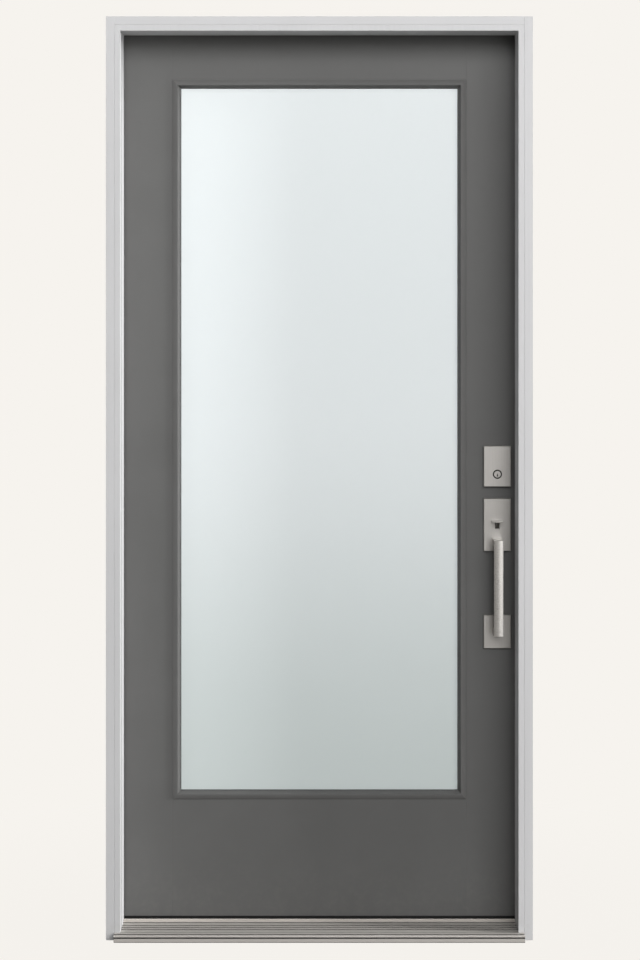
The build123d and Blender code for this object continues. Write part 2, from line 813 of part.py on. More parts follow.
def lower_handle_plate():
    return wall_plate(-1, lower_plate_low, lower_plate_high, HANDLE_PLATE_THICKNESS)


def thumb_piece():
    """A dished thumb paddle on a tapering web, rocking on its cross pin in the plate's slot."""
    tip_y = face_y - HANDLE_PLATE_THICKNESS - THUMB_REACH
    paddle_y = face_y - HANDLE_PLATE_THICKNESS - THUMB_ROOT_GAP
    middle_y = (paddle_y + tip_y) / 2
    x0 = hardware_x - THUMB_WIDTH / 2
    dish = ThreePointArc(
        (x0, paddle_y, thumb_top),
        (x0, middle_y, thumb_top - THUMB_DISH),
        (x0, tip_y, thumb_top),
    )
    under = Polyline(
        dish @ 1,
        (x0, tip_y, thumb_top - THUMB_TIP_THICKNESS),
        (x0, paddle_y, thumb_top - THUMB_THICKNESS),
        dish @ 0,
    )
    paddle = extrude(make_face([dish, under]), amount=THUMB_WIDTH, dir=(1, 0, 0))
    corners = paddle.edges().filter_by(Axis.Z).sort_by(Axis.Y)[:2]
    paddle = chamfer(corners, THUMB_CORNER)
    hub_low = thumb_pivot_z - THUMB_HUB_RADIUS
    hub_high = thumb_pivot_z + THUMB_HUB_RADIUS
    web = polygon_along_x(
        [
            (thumb_pivot_y, hub_low),
            (paddle_y, hub_low),
            (middle_y, thumb_top - THUMB_THICKNESS),
            (middle_y, thumb_top - THUMB_TIP_THICKNESS),
            (paddle_y, thumb_top - THUMB_TIP_THICKNESS),
            (paddle_y, hub_high),
            (thumb_pivot_y, hub_high),
        ],
        hardware_x - THUMB_WEB / 2, hardware_x + THUMB_WEB / 2,
    )
    hub = Pos(hardware_x, thumb_pivot_y, thumb_pivot_z) * Rot(0, 90, 0)
    hub *= Cylinder(THUMB_HUB_RADIUS, THUMB_WEB)
    return paddle + web + hub + thumb_pin(THUMB_PIN_RADIUS, THUMB_PIN_REACH)


def pull_handle():
    """A crowned grip with square ends and a foot on each plate."""
    plate_y = face_y - HANDLE_PLATE_THICKNESS
    front_y = face_y - GRIP_STAND_OFF
    gap = block(
        hardware_x - GRIP_WIDTH, hardware_x + GRIP_WIDTH, front_y + GRIP_THICKNESS,
        plate_y + GRIP_WIDTH, grip_low + GRIP_FOOT, grip_high - GRIP_FOOT,
    )
    gap = fillet(gap.edges().filter_by(Axis.X).sort_by(Axis.Y)[:2], GRIP_INNER_ROUND)
    half = GRIP_WIDTH / 2
    crown = ThreePointArc(
        (hardware_x - half, front_y + GRIP_CROWN, grip_low),
        (hardware_x, front_y, grip_low),
        (hardware_x + half, front_y + GRIP_CROWN, grip_low),
    )
    sides = Polyline(
        crown @ 1,
        (hardware_x + half, plate_y, grip_low),
        (hardware_x - half, plate_y, grip_low),
        crown @ 0,
    )
    bar = extrude(make_face([crown, sides]), amount=grip_high - grip_low, dir=(0, 0, 1))
    bar = chamfer(bar.edges().filter_by(GeomType.CIRCLE), GRIP_BEVEL)
    return bar - gap


# Hardware inside


def thumbturn():
    """The inside turn piece of the deadbolt: disc, neck and a bevelled bar to grip."""
    start = inside_y + INNER_PLATE_THICKNESS
    disc_end = start + THUMBTURN_DISC
    neck_end = disc_end + THUMBTURN_NECK
    piece = rod_y(hardware_x, deadbolt_z, THUMBTURN_DISC_RADIUS, start, disc_end)
    piece += rod_y(hardware_x, deadbolt_z, THUMBTURN_NECK_RADIUS, disc_end, neck_end)
    key = block(
        hardware_x - THUMBTURN_WIDTH / 2, hardware_x + THUMBTURN_WIDTH / 2,
        neck_end, neck_end + THUMBTURN_DEPTH,
        deadbolt_z - THUMBTURN_LENGTH / 2, deadbolt_z + THUMBTURN_LENGTH / 2,
    )
    key = chamfer(key.edges().filter_by(Axis.Y), THUMBTURN_CORNER)
    key = chamfer(key.faces().sort_by(Axis.Y)[-1].edges(), THUMBTURN_BEVEL)
    return piece + key


def interior_lever():
    """The inside lever: a round neck and a bar towards the hinges."""
    start = inside_y + INNER_PLATE_THICKNESS
    bar_y = start + LEVER_NECK
    neck = rod_y(hardware_x, LATCH_HEIGHT, LEVER_NECK_RADIUS, start, bar_y + LEVER_THICKNESS / 2)
    bar = block(
        hardware_x - LEVER_LENGTH, hardware_x + LEVER_NECK_RADIUS, bar_y, bar_y + LEVER_THICKNESS,
        LATCH_HEIGHT - LEVER_HEIGHT / 2, LATCH_HEIGHT + LEVER_HEIGHT / 2,
    )
    bar = fillet(bar.edges().filter_by(Axis.X), LEVER_ROUND)
    bar = chamfer(bar.faces().sort_by(Axis.X)[0].edges(), LEVER_BEVEL)
    return bar + neck


def build():
    parts = {
        "hinge_jamb": hinge_jamb(),
        "strike_jamb": strike_jamb(),
        "head_jamb": head_jamb(),
        "door_stops": Compound([side_stop(-1), side_stop(1), head_stop()]),
        "sill_substrate": sill_substrate(),
        "sill_deck": sill_deck(),
        "sill_cap": sill_cap(),
        "weatherstrip": Compound([side_seal(-1), side_seal(1), head_seal()]),
        "latch_strike_plate": latch_strike_plate(),
        "deadbolt_strike_plate": strike_plate(*bolts["deadbolt"]),
        "hinge_pins": Compound([hinge_pin(z) for z in hinge_centres.values()]),
        "exterior_skin": skin(-1),
        "interior_skin": interior_skin(),
        "hinge_stile": hinge_stile(),
        "lock_stile": lock_stile(),
        "top_rail": rail(slab_top - TOP_RAIL, slab_top),
        "bottom_rail": rail(SLAB_BOTTOM, SLAB_BOTTOM + BOTTOM_RAIL),
        "door_sweep": door_sweep(),
        "exterior_lite_frame": lite_frame(-1),
        "interior_lite_frame": lite_frame(1),
        "exterior_glass": pane(-1),
        "interior_glass": pane(1),
        "glass_spacer": glass_spacer(),
        "deadbolt_plate": deadbolt_plate(),
        "deadbolt_cylinder": deadbolt_cylinder(),
        "key_plug": key_plug(),
        "upper_handle_plate": upper_handle_plate(),
        "lower_handle_plate": lower_handle_plate(),
        "thumb_piece": thumb_piece(),
        "pull_handle": pull_handle(),
        "thumbturn_plate": wall_plate(
            1, deadbolt_plate_low, deadbolt_plate_high, INNER_PLATE_THICKNESS
        ),
        "thumbturn": thumbturn(),
        "lever_plate": wall_plate(1, upper_plate_low, upper_plate_high, INNER_PLATE_THICKNESS),
        "interior_lever": interior_lever(),
        "latch_faceplate": faceplate(*bolts["latch"]),
        "deadbolt_faceplate": faceplate(*bolts["deadbolt"]),
        "latch_bolt": bolt(*bolts["latch"]),
        "deadbolt_bolt": bolt(*bolts["deadbolt"]),
    }
    for level, z in hinge_centres.items():
        parts[level + "_hinge_frame_leaf"] = frame_leaf(z)
        parts[level + "_hinge_door_leaf"] = door_leaf(z)
    return parts


os.makedirs("parts", exist_ok=True)
for name, piece in build().items():
    export_step(piece, f"parts/{name}.step")
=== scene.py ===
# %% [markdown]
# # A full lite entry door, seen from outside
# The packed model is the fixed frame of this scene: every board, plate, pane and pin comes from it
# at its real size. Blender adds what a solid can't show, which is paint, frosted glass, brushed
# nickel, screws and light. All lengths are in metres. X runs to the lock side, Y into the house
# and Z up, and the origin lies in the middle of the sill's underside.

# %% Load the frame
import json
import math

import bpy
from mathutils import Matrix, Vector


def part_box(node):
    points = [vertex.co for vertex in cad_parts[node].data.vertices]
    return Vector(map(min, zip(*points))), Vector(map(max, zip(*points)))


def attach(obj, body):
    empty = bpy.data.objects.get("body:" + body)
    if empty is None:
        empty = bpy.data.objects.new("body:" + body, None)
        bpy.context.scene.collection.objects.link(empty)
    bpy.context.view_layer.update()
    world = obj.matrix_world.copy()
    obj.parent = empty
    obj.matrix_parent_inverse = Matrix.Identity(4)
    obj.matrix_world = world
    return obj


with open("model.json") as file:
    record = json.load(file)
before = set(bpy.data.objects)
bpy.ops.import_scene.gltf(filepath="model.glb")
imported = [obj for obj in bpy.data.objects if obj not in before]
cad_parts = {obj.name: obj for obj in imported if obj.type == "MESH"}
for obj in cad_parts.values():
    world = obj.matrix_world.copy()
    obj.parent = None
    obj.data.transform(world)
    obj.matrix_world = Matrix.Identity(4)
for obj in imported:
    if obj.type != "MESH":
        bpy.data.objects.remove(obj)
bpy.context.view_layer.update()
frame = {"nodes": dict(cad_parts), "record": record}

nodes = frame["nodes"]

# %% [markdown]
# ## The photograph's viewpoint
# The door was taken straight on from about six metres, with the camera at the height of a
# standing person's chin. Its verticals are parallel, so the camera looked level and the picture
# was shifted down to take in the sill. A lens shift does the same here: tilting the camera instead
# would make the jambs lean.

# %% Camera
PICTURE_HEIGHT = 960
FOCAL_PIXELS = 2653
SENSOR = 36.0
CAMERA_HEIGHT = 1.455
CAMERA_TO_JAMB = 5.918
HORIZON_PIXEL = 288
CENTRE_OFFSET_PIXELS = 0.65

jamb_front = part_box("hinge_jamb")[0].y
lens = bpy.data.cameras.new("viewpoint")
lens.sensor_width = SENSOR
lens.lens = FOCAL_PIXELS * SENSOR / PICTURE_HEIGHT
lens.shift_x = CENTRE_OFFSET_PIXELS / PICTURE_HEIGHT
lens.shift_y = (HORIZON_PIXEL - PICTURE_HEIGHT / 2) / PICTURE_HEIGHT
camera = bpy.data.objects.new("viewpoint", lens)
camera.location = (0, jamb_front - CAMERA_TO_JAMB, CAMERA_HEIGHT)
camera.rotation_euler = (math.radians(90), 0, 0)
bpy.context.scene.collection.objects.link(camera)
bpy.context.scene.camera = camera
bpy.context.scene.view_settings.view_transform = "Standard"
print("lens", round(lens.lens, 2), "mm, camera at", [round(v, 3) for v in camera.location])

# %% [markdown]
# ## Writing materials as sums
# A procedural material is a small sum: a base colour, plus a little noise, times a mask. Wiring
# each node by hand hides that sum, so one class wraps a node's output and turns Python's operators
# into Math nodes. Another holds a material's tree and makes every other kind of node.

# %% A wire between nodes
NOISE_RANGE = (0.3, 0.7)


class Wire:
    """One output of a node. Sums and products of wires and numbers become Math nodes."""

    def __init__(self, finish, socket):
        self.finish = finish
        self.socket = socket

    def math(self, operation, *values):
        return self.finish.node("ShaderNodeMath", {"operation": operation}, dict(enumerate(values)))

    def __add__(self, other):
        return self.math("ADD", self, other)

    def __sub__(self, other):
        return self.math("SUBTRACT", self, other)

    def __rsub__(self, other):
        return self.math("SUBTRACT", other, self)

    def __mul__(self, other):
        return self.math("MULTIPLY", self, other)

    def __abs__(self):
        return self.math("ABSOLUTE", self)

    def most(self, other):
        return self.math("MAXIMUM", self, other)

    def between(self, low, high, at_low=0.0, at_high=1.0):
        """The wire's range from low to high, stretched to another range and held at its ends."""
        return self.finish.node(
            "ShaderNodeMapRange", {"interpolation_type": "SMOOTHSTEP"},
            {"Value": self, "From Min": low, "From Max": high, "To Min": at_low, "To Max": at_high},
        )

    def spread(self, at_low=0.0, at_high=1.0):
        """A noise, which seldom leaves its middle range, stretched over a whole range."""
        return self.between(*NOISE_RANGE, at_low, at_high)


print("a wire can do", [name for name in vars(Wire) if not name.startswith("_")])

# %% A material's tree
class Finish:
    """One material or world, with one method that makes any node in it."""

    def __init__(self, name, holder=None):
        self.holder = holder or bpy.data.materials.new(name)
        self.holder.use_nodes = True
        self.tree = self.holder.node_tree
        self.tree.nodes.clear()

    def feed(self, socket, value):
        if isinstance(value, Wire):
            self.tree.links.new(value.socket, socket)
        else:
            socket.default_value = value

    def node(self, kind, settings, inputs, output=0):
        """Makes a node, sets its settings, then feeds its sockets with values or wires."""
        made = self.tree.nodes.new(kind)
        for name, value in settings.items():
            setattr(made, name, value)
        for name, value in inputs.items():
            self.feed(made.inputs[name], value)
        return Wire(self, made.outputs[output]) if made.outputs else made

    def place(self):
        """The point on the piece, in metres from the door's origin."""
        return self.node("ShaderNodeTexCoord", {}, {}, "Object")

    def axis(self, letter):
        return self.node("ShaderNodeSeparateXYZ", {}, {"Vector": self.place()}, letter)

    def stretched(self, scale):
        """The point on the piece with each axis scaled, for grain that runs one way."""
        return self.node("ShaderNodeMapping", {}, {"Vector": self.place(), "Scale": scale})

    def noise(self, scale, detail=2.0, roughness=0.5, place=None, distortion=0.0):
        return self.node(
            "ShaderNodeTexNoise", {},
            {"Vector": place or self.place(), "Scale": scale, "Detail": detail,
             "Roughness": roughness, "Distortion": distortion},
        )

    def mix(self, factor, first, second):
        """A colour between two. Mix has its colours at inputs 6 and 7 and its result at 2."""
        return self.node(
            "ShaderNodeMix", {"data_type": "RGBA"}, {0: factor, 6: first, 7: second}, 2
        )

    def bump(self, height, strength, distance, normal=None):
        inputs = {"Height": height, "Strength": strength, "Distance": distance}
        if normal:
            inputs["Normal"] = normal
        return self.node("ShaderNodeBump", {}, inputs)

    def surface(self, **sockets):
        """Ends the material in a Principled shader; a socket's name is written with underscores."""
        inputs = {name.replace("_", " "): value for name, value in sockets.items()}
        shader = self.node("ShaderNodeBsdfPrincipled", {}, inputs)
        self.node("ShaderNodeOutputMaterial", {}, {"Surface": shader})
        return self.holder


print("a finish can do", [name for name in vars(Finish) if not name.startswith("_")])

# %% Helpers for finishes
def shade(colour, factor):
    """A colour made darker or lighter by a factor."""
    return tuple(channel * factor for channel in colour[:3]) + (1.0,)


def give(material, *names):
    """Puts a material on CAD nodes, in the slot that they came with."""
    for name in names:
        mesh = nodes[name].data
        if mesh.materials:
            mesh.materials[0] = material
        else:
            mesh.materials.append(material)


print("the sums are ready: a colour shaded by half is", shade((0.8, 0.6, 0.4, 1.0), 0.5))

# %% [markdown]
# ## Paint on the frame
# The jambs, stops and head are pine boards under two coats of light grey satin paint. A roller
# leaves a fine stipple, and the wood's grain shows through as long shallow ridges that run the
# length of each board. Noise at two scales does both: an even one for the stipple and a stretched
# one for the grain. The side boards' grain runs up and the head's runs across. A painted shadow
# line up each stop, where its two strips meet, is a mask on the depth of a point.

# %% Frame paint
FRAME_GREY = (0.572, 0.57, 0.575, 1.0)
FRAME_GRIME = (0.36, 0.34, 0.31, 1.0)
GRIME_HEIGHT = 0.09
STIPPLE_SCALE = 900.0
GRAIN_SCALE = 160.0
GRAIN_STRETCH = 0.018
GRAIN_UP = (1.0, 1.0, GRAIN_STRETCH)
GRAIN_ACROSS = (GRAIN_STRETCH, 1.0, 1.0)
STOP_THICKNESS = 0.0127
JOINT_DEPTH = -0.047
JOINT_PAINTED_SHADOW = (0.15, 0.15, 0.15, 1.0)
JOINT_SHADOW_EDGES = (0.004, 0.007)
JOINT_SHADOW_END = 0.001


def frame_paint(name, grain_scale, joint_top=None):
    """Painted wood; where a joint's top is given, a painted shadow line runs up the joint to there.
    """
    paint = Finish(name)
    stipple = paint.noise(STIPPLE_SCALE, detail=3.0)
    grain = paint.noise(
        GRAIN_SCALE, detail=4.0, roughness=0.55, place=paint.stretched(grain_scale),
        distortion=0.4,
    )
    cloud = paint.noise(3.0, detail=3.0)
    worn = (cloud * 0.6 + grain * 0.4).between(0.35, 0.65)
    colour = paint.mix(worn, shade(FRAME_GREY, 0.975), shade(FRAME_GREY, 1.02))
    low = paint.axis("Z").between(0.0, GRIME_HEIGHT, 1.0, 0.0)
    grime = low * paint.noise(45.0, detail=4.0, roughness=0.6).between(0.38, 0.7)
    colour = paint.mix(grime * 0.22, colour, FRAME_GRIME)
    if joint_top:
        # Painted shadow: a dark line up the stop's joint, darkening the paint's colour.
        joint_shadow_line = abs(paint.axis("Y") - JOINT_DEPTH).between(*JOINT_SHADOW_EDGES, 1.0, 0.0)
        joint_shadow_line = joint_shadow_line * paint.axis("Z").between(joint_top - JOINT_SHADOW_END, joint_top, 1.0, 0.0)
        colour = paint.mix(joint_shadow_line * 0.85, colour, JOINT_PAINTED_SHADOW)
    ridges = paint.bump(grain, 0.18, 0.0006)
    return paint.surface(
        Base_Color=colour, Roughness=stipple.spread(0.52, 0.62),
        Normal=paint.bump(stipple, 0.12, 0.0002, ridges), Specular_IOR_Level=0.15,
    )


stop_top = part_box("door_stops")[1].z - STOP_THICKNESS
give(frame_paint("frame_paint_upright", GRAIN_UP), "hinge_jamb", "strike_jamb")
give(frame_paint("frame_paint_level", GRAIN_ACROSS), "head_jamb")
give(frame_paint("frame_paint_stops", GRAIN_UP, stop_top), "door_stops")
print("painted the frame; the stops' dark line ends at", round(stop_top, 4))

# %% [markdown]
# ## Paint on the slab
# The slab's skins are moulded sheets with a smooth dark grey factory coat, a little warmer than
# neutral. What gives such a coat away is not its colour but its faint orange peel, so a soft cloud
# of noise bends the highlights by a fraction of a millimetre. The moulding round the lite is a
# separate plastic part in the same grey, a little lighter and duller. The slab's edges are the
# same colour on wood, with grain that runs up the stiles.

# %% Slab paint
SLAB_GREY = (0.1125, 0.1118, 0.1094, 1.0)
MOULDING_GREY = shade(SLAB_GREY, 1.2)
SPLASH = (0.2, 0.19, 0.17, 1.0)
SPLASH_HEIGHTS = (0.03, 0.22)


def slab_paint(name, grey, peel, gloss, roughness):
    """A smooth coat with a faint orange peel, and dried splashes near the ground."""
    coat = Finish(name)
    dimples = coat.noise(260.0)
    dust = coat.noise(7.0, detail=5.0, roughness=0.6)
    colour = coat.mix(dust.spread(), shade(grey, 0.97), shade(grey, 1.03))
    low = coat.axis("Z").between(*SPLASH_HEIGHTS, 1.0, 0.0)
    splash = low * coat.noise(60.0, detail=4.0, roughness=0.65).between(0.4, 0.75)
    return coat.surface(
        Base_Color=coat.mix(splash * 0.12, colour, SPLASH),
        Roughness=dust.spread(roughness - 0.04, roughness + 0.04),
        Normal=coat.bump(dimples, peel, 0.0003), Specular_IOR_Level=gloss,
    )


def slab_edge_paint():
    coat = Finish("slab_edge_paint")
    grain = coat.noise(
        220.0, detail=4.0, roughness=0.6, place=coat.stretched(GRAIN_UP), distortion=0.5
    )
    colour = coat.mix(grain.between(0.35, 0.65), shade(SLAB_GREY, 0.9), shade(SLAB_GREY, 1.1))
    return coat.surface(
        Base_Color=colour, Roughness=grain.spread(0.5, 0.62),
        Normal=coat.bump(grain, 0.3, 0.0006), Specular_IOR_Level=0.25,
    )


skin_paint = slab_paint("slab_paint", SLAB_GREY, peel=0.1, gloss=0.25, roughness=0.46)
moulding_paint = slab_paint(
    "moulding_paint", MOULDING_GREY, peel=0.05, gloss=0.12, roughness=0.6
)
give(skin_paint, "exterior_skin", "interior_skin")
give(moulding_paint, "exterior_lite_frame", "interior_lite_frame")
give(slab_edge_paint(), "hinge_stile", "lock_stile", "top_rail", "bottom_rail")
print("painted the slab with", skin_paint.name, "and", moulding_paint.name)

# %% [markdown]
# ## Frosted and clear glass
# The outer pane is etched on its outside: light goes in and comes out scattered, so it looks like
# pale paper with a cool cast and hides the room. Its colour is painted darker towards the sill, a
# painted shade for the light that it gathers from the ground and not from the sky. The pane is
# mostly a diffuse surface here with a little rough transmission, which renders fast and clean. The
# inner pane is plain clear glass, and a folded metal spacer holds the two apart.

# %% Glass
GLASS_TOP = (0.905, 0.955, 0.965, 1.0)
GLASS_LOW_PAINTED_SHADE = (0.69, 0.755, 0.745, 1.0)
GLASS_MILKY = (0.9, 0.93, 0.93, 1.0)
GLASS_CLEAR = (0.93, 0.965, 0.955, 1.0)
SPACER_GREY = (0.55, 0.55, 0.55, 1.0)
PAINTED_FADE_SHARE = 0.55


def frosted_glass():
    pane = Finish("frosted_glass")
    low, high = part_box("exterior_glass")
    # Painted shade: the pane's colour darkens towards its bottom edge.
    painted_fade = pane.axis("Z").between(low.z, low.z + (high.z - low.z) * PAINTED_FADE_SHARE)
    etch = pane.noise(2600.0)
    ripple = pane.noise(5.0)
    colour = pane.mix(painted_fade, GLASS_LOW_PAINTED_SHADE, GLASS_TOP)
    return pane.surface(
        Base_Color=pane.mix(ripple.spread() * 0.04, colour, GLASS_MILKY),
        Roughness=etch.spread(0.42, 0.5), Normal=pane.bump(etch, 0.08, 0.0001),
        Transmission_Weight=0.12, Specular_IOR_Level=0.35,
    )


def clear_glass():
    pane = Finish("clear_glass")
    smear = pane.noise(14.0, detail=4.0, roughness=0.6)
    return pane.surface(
        Base_Color=GLASS_CLEAR, Roughness=smear.between(0.45, 0.8, 0.0, 0.05),
        Transmission_Weight=1.0, IOR=1.5,
    )


def spacer_metal():
    strip = Finish("spacer_metal")
    streak = strip.noise(300.0, detail=3.0, place=strip.stretched((1.0, 1.0, 0.1)))
    return strip.surface(
        Base_Color=SPACER_GREY, Metallic=1.0, Roughness=streak.spread(0.35, 0.5),
    )


give(frosted_glass(), "exterior_glass")
give(clear_glass(), "interior_glass")
give(spacer_metal(), "glass_spacer")
print("glazed the lite with two panes, frosted outside and clear inside")

# %% [markdown]
# ## Satin nickel
# The handleset is brushed nickel under a clear satin lacquer: a warm grey metal whose fine
# parallel scratches blur reflections. One stretched noise makes the scratches, in the roughness
# and in a very shallow bump. Plates are brushed up and down, as on most lever sets.
# The pull is polished a little smoother and brushed across, and its colour is a lighter copy of
# the plates' nickel, painted brighter for the light that it catches. Its low crown mirrors a wide
# arc of the room, so a bump in the shape of a parabola eases the crown flatter for the light
# alone. On the key's cylinder and plug, whatever lies behind the face is painted dark, a painted
# shadow for the groove.

# %% Nickel
NICKEL = (0.34, 0.328, 0.314, 1.0)
KEYWAY_PAINTED_SHADOW = (0.02, 0.019, 0.018, 1.0)
KEYWAY_EDGE = 0.0008
FACE_TO_PAINTED_SHADOW = {"deadbolt_cylinder": 0.0006, "key_plug": 0.001}
BRUSH_SCALE = 1500.0
BRUSH_STRETCH = 0.012
BRUSHED_UP = (1.0, 1.0, BRUSH_STRETCH)
BRUSHED_ACROSS = (BRUSH_STRETCH, 1.0, 1.0)
SCRATCH_DEPTH = 0.00006
CROWN_EASE = 7.4


def satin_nickel(name, shadow_from=None):
    """Brushed nickel; whatever lies deeper along Y than the given depth is painted dark, a painted
    shadow.
    """
    metal = Finish(name)
    lines = metal.noise(
        BRUSH_SCALE, detail=3.0, roughness=0.6, place=metal.stretched(BRUSHED_UP)
    )
    cloud = metal.noise(40.0, detail=3.0)
    colour = metal.mix(lines.spread(), shade(NICKEL, 0.95), shade(NICKEL, 1.04))
    if shadow_from is not None:
        # Painted shadow: the keyway and the cylinder's ring are darkened in colour.
        groove_shade = metal.axis("Y").between(shadow_from, shadow_from + KEYWAY_EDGE)
        colour = metal.mix(groove_shade, colour, KEYWAY_PAINTED_SHADOW)
    return metal.surface(
        Base_Color=colour, Metallic=1.0,
        Roughness=(lines * 0.7 + cloud * 0.3).spread(0.34, 0.46),
        Normal=metal.bump(lines, 0.06, SCRATCH_DEPTH),
    )


def grip_nickel_painted_lighter():
    """The pull's finish: smoother and brushed across, its colour painted lighter than the plates'
    for the light it catches, with its crown eased flatter.
    """
    metal = Finish("grip_nickel_painted_lighter")
    low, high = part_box("pull_handle")
    across = metal.axis("X") - (low.x + high.x) / 2
    eased = metal.bump(across * across * CROWN_EASE, 1.0, 1.0)
    lines = metal.noise(
        BRUSH_SCALE, detail=3.0, roughness=0.6, place=metal.stretched(BRUSHED_ACROSS)
    )
    # Painted light: the pull's nickel is a lighter copy of the plates' nickel.
    colour = metal.mix(lines.spread(), shade(NICKEL, 1.3), shade(NICKEL, 1.4))
    return metal.surface(
        Base_Color=colour, Metallic=1.0, Roughness=lines.spread(0.27, 0.31),
        Normal=metal.bump(lines, 0.05, SCRATCH_DEPTH, eased),
    )


nickel = satin_nickel("satin_nickel")
metal_nodes = [
    s["node"] for s in frame["record"]["subparts"] if s["material_slot"] == "satin_nickel"
]
give(nickel, *metal_nodes)
for name, behind_face in FACE_TO_PAINTED_SHADOW.items():
    give(satin_nickel(name + "_nickel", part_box(name)[0].y + behind_face), name)
give(grip_nickel_painted_lighter(), "pull_handle")
print("nickel on", len(metal_nodes), "nodes")

# %% [markdown]
# ## Sill and seals
# The deck is extruded aluminium with a warm coat, scuffed by shoes, so its middle is worn and its
# ribs have grooves between them that fill with dirt. The grooves are in the solid; what the
# material adds is their dirt and painted shade, by a mask on height, a painted shade line behind
# the nosing and a painted contact shadow at its foot. The cap in front of the slab is a dull
# speckled composite with a lip, and the gutter behind the lip is painted black for dirt and
# shade. The block under the deck is a darker composite that shows only from the ends and the
# back. Seals and sweep are soft dark vinyl.

# %% Sill metal
SILL_METAL = (0.425, 0.402, 0.376, 1.0)
SILL_WORN = (0.36, 0.34, 0.31, 1.0)
DIRT_AND_SHADE = (0.015, 0.014, 0.013, 1.0)
SHADE_LINE_AT = -0.0804
SHADE_LINE_EDGES = (0.001, 0.0035)
TREAD_EDGES = (0.1, 0.42)
NOSE_EDGES = (0.001, 0.002)
GROOVE_UNDER_TOP = (0.0007, 0.0004)
FOOT_SHADOW_HEIGHTS = (0.001, 0.0024)


def sill_aluminium():
    metal = Finish("sill_aluminium")
    low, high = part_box("sill_deck")
    height = metal.axis("Z")
    depth = metal.axis("Y")
    scuff = metal.noise(
        55.0, detail=5.0, roughness=0.7, place=metal.stretched((1.0, 1.6, 1.0)), distortion=1.2
    )
    middle = abs(metal.axis("X")).between(*TREAD_EDGES, 1.0, 0.0)
    tread = scuff.between(0.5, 0.72) * middle
    colour = metal.mix(tread * 0.15, SILL_METAL, SILL_WORN)
    behind_nose = depth.between(*(low.y + edge for edge in NOSE_EDGES))
    # Dirt and painted shade: the grooves between the ribs are darkened in colour.
    groove_shade = height.between(*(high.z - under for under in GROOVE_UNDER_TOP), 1.0, 0.0)
    groove_shade = groove_shade * behind_nose
    # Painted shade: a dark line behind the nosing.
    lines = abs(depth - SHADE_LINE_AT).between(*SHADE_LINE_EDGES, 0.45, 0.0)
    # Painted contact shadow along the deck's foot.
    foot_shadow = height.between(*FOOT_SHADOW_HEIGHTS, 0.75, 0.0)
    return metal.surface(
        Base_Color=metal.mix(groove_shade.most(lines).most(foot_shadow), colour, DIRT_AND_SHADE),
        Metallic=(1 - groove_shade) * 0.1, Roughness=scuff.spread(0.4, 0.5),
        Normal=metal.bump(scuff, 0.04, 0.0001),
    )


give(sill_aluminium(), "sill_deck")

# %% Composite and vinyl
CAP_GREY = (0.5, 0.465, 0.425)
CAP_SPECK = (0.55, 0.52, 0.49, 1.0)
BLOCK_GREY = (0.095, 0.09, 0.082)
BLOCK_SPECK = (0.2, 0.19, 0.17, 1.0)
VINYL_BLACK = (0.014, 0.014, 0.014)
VINYL_SPECK = (0.03, 0.03, 0.03, 1.0)
LIP_WIDTH = 0.005
GUTTER_UNDER_TOP = 0.0006
GUTTER_EDGE = 0.0003
GUTTER_FADE = 0.0005


def composite(name, colour, speck, roughness, gutter=None):
    """A speckled block; a gutter, its start along Y and its height, is painted black for dirt and
    painted shade.
    """
    block = Finish(name)
    grit = block.noise(1400.0, roughness=0.7)
    flow = block.noise(90.0, detail=4.0, roughness=0.6, place=block.stretched((0.05, 1.0, 1.0)))
    tone = block.mix(flow.spread(), shade(colour, 0.9), shade(colour, 1.08))
    tone = block.mix(grit.between(0.6, 0.75) * 0.6, tone, speck)
    if gutter:
        behind, under = gutter
        # Dirt and painted shade in the gutter behind the lip.
        gutter_dirt_and_shade = block.axis("Y").between(behind - GUTTER_EDGE, behind + GUTTER_EDGE)
        gutter_dirt_and_shade = gutter_dirt_and_shade * block.axis("Z").between(under - GUTTER_FADE, under, 1.0, 0.0)
        tone = block.mix(gutter_dirt_and_shade, tone, DIRT_AND_SHADE)
    return block.surface(
        Base_Color=tone, Roughness=grit.spread(roughness - 0.06, roughness + 0.06),
        Normal=block.bump(grit, 0.2, 0.0002), Specular_IOR_Level=0.3,
    )


cap_low, cap_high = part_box("sill_cap")
gutter = (cap_low.y + LIP_WIDTH, cap_high.z - GUTTER_UNDER_TOP)
give(composite("sill_cap_finish", CAP_GREY, CAP_SPECK, 0.55, gutter), "sill_cap")
give(composite("sill_composite", BLOCK_GREY, BLOCK_SPECK, 0.75), "sill_substrate")
sealant = composite("seal_vinyl", VINYL_BLACK, VINYL_SPECK, 0.6)
give(sealant, "weatherstrip", "door_sweep")
print("the cap's gutter starts at", [round(v, 4) for v in gutter])

# %% [markdown]
# ## Floor and backdrop
# The photograph has a plain pale background that runs from the wall into the floor without a
# line. Light Path tells a material which ray looks at it: rays from the camera, and mirror and
# glass rays, see the backdrop's own colour, while the rays that carry light see a dim fill and a
# grey floor. So the background stays even without putting more light on the door. Near the door
# the floor lets a small share of its true shading through, which is the door's soft shadow.
# Mirror rays find the room in front of the door darker than what is behind it, because a wall of
# even white would wash out the metal.

# %% World and floor
BACKDROP = (0.922, 0.896, 0.855, 1.0)
FILL = (0.90, 0.93, 1.0, 1.0)
FILL_STRENGTH = 0.04
ROOM_SIDE = 0.35
WORLD_TURN = (-0.8, 0.3)
FLOOR_TURN = (-3.0, 0.5)
FLOOR_REACH = 12.0
FLOOR_DROP = 0.0005
FLOOR_GREY = (0.17, 0.166, 0.16, 1.0)
SHADOW_SHARE = 0.02
SHADOW_REACH = (0.5, 1.6)


